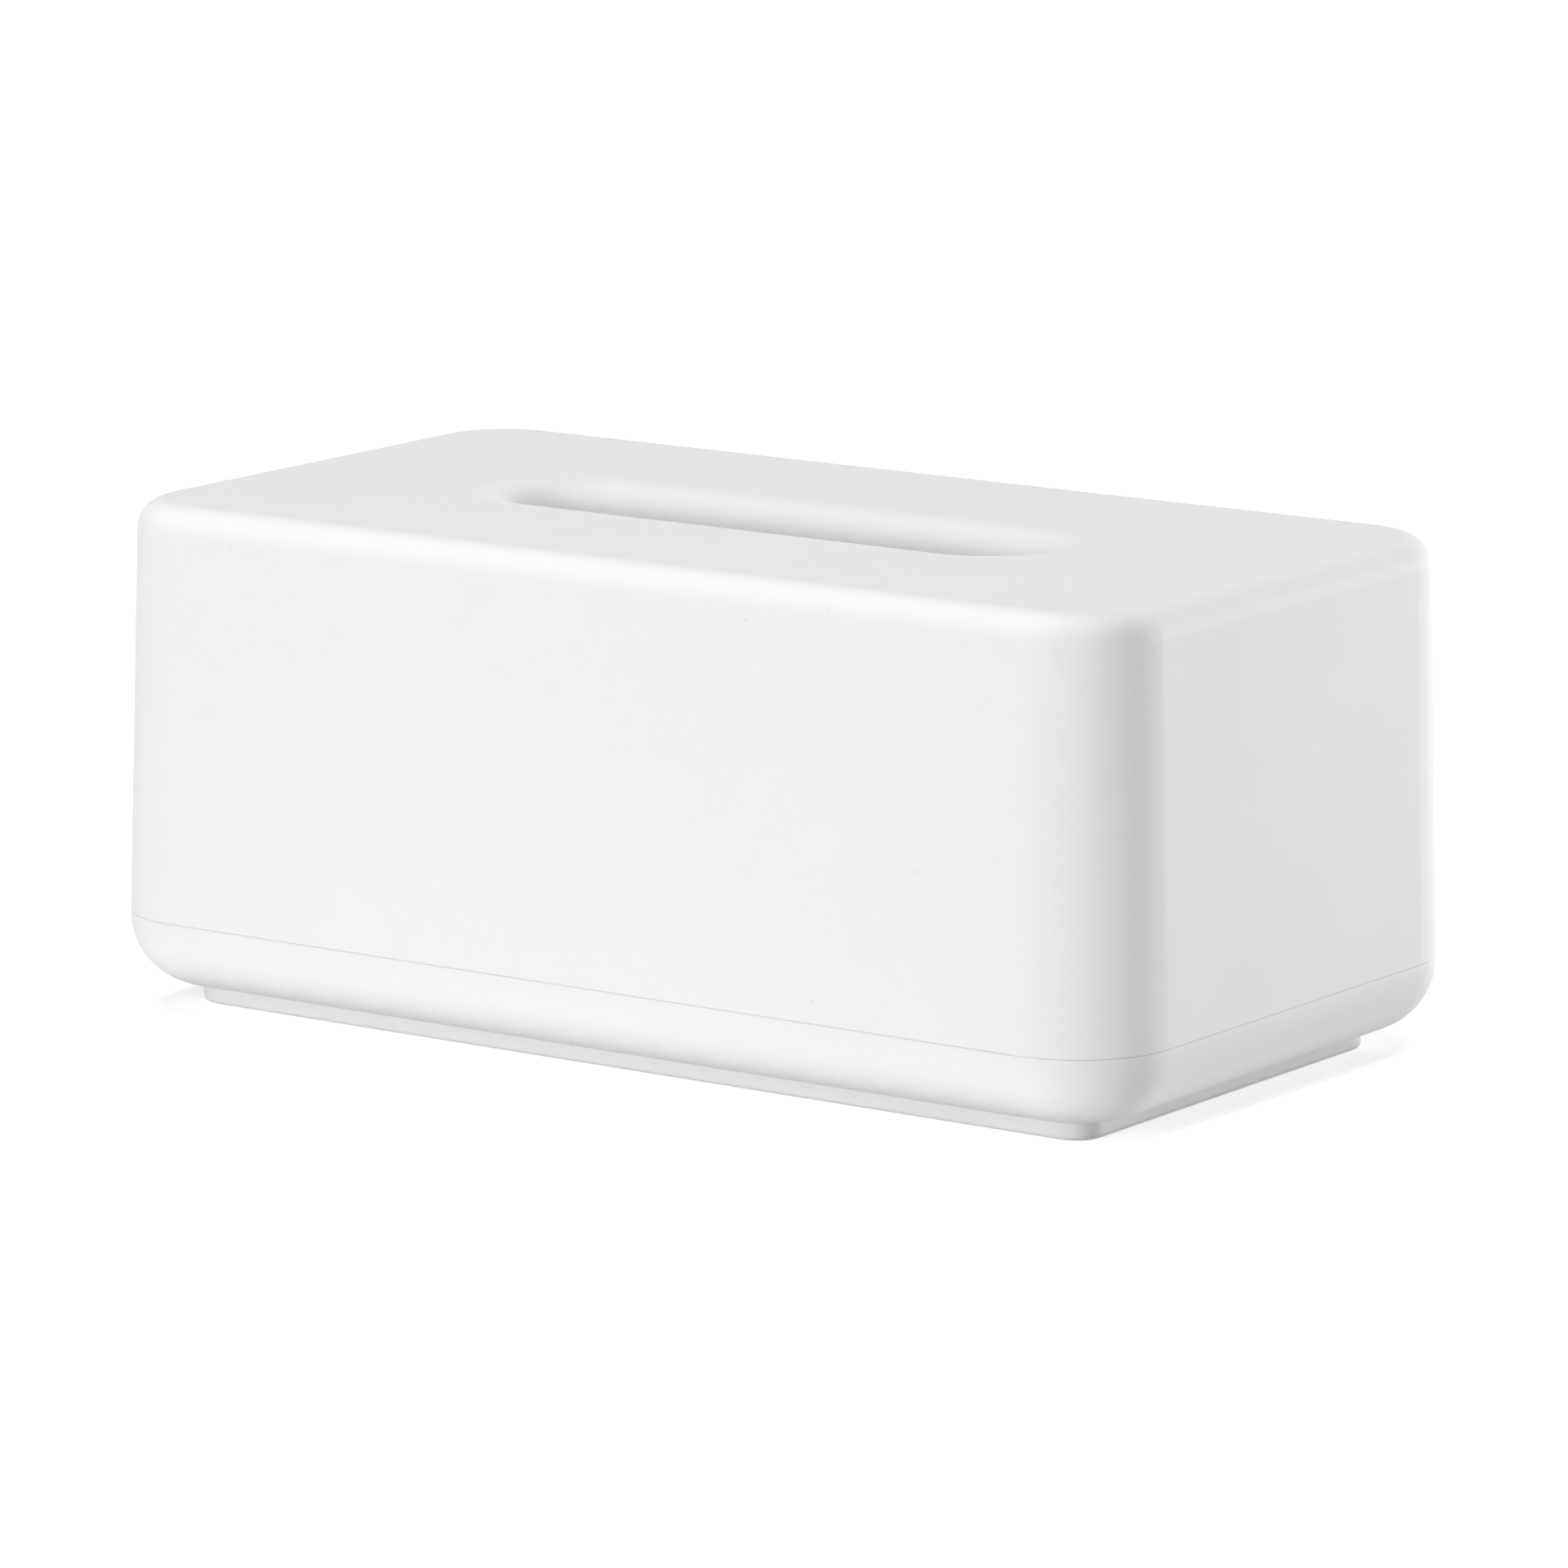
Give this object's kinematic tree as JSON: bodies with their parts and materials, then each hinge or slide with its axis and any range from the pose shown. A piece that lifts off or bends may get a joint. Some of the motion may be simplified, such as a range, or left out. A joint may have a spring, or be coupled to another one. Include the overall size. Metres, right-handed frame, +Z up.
{
  "type": "napkin box",
  "caption": "Rectangular napkin box with rounded corners: a moulded cover with a long rolled-edge slot lifts straight off a shallow tray that stands on an inset foot.",
  "frame": {"origin": "centre of the foot's underside, on the surface the box stands on", "axes": "+X along the box's length and its slot, -Y the front long side, +Z up"},
  "size_m": [0.26, 0.142, 0.1096],
  "materials": {
    "cover_plastic": "fine matt moulded surface, white",
    "tray_plastic": "fine matt moulded surface, white"
  },
  "bodies": {
    "base": {"base_tray": "tray_plastic"},
    "cover": {"cover": "cover_plastic"}
  },
  "joints": [
    {"name": "cover_lift", "type": "slide", "parent": "base", "child": "cover", "axis": [0, 0, 1], "range_m": [0, 0.1]}
  ]
}
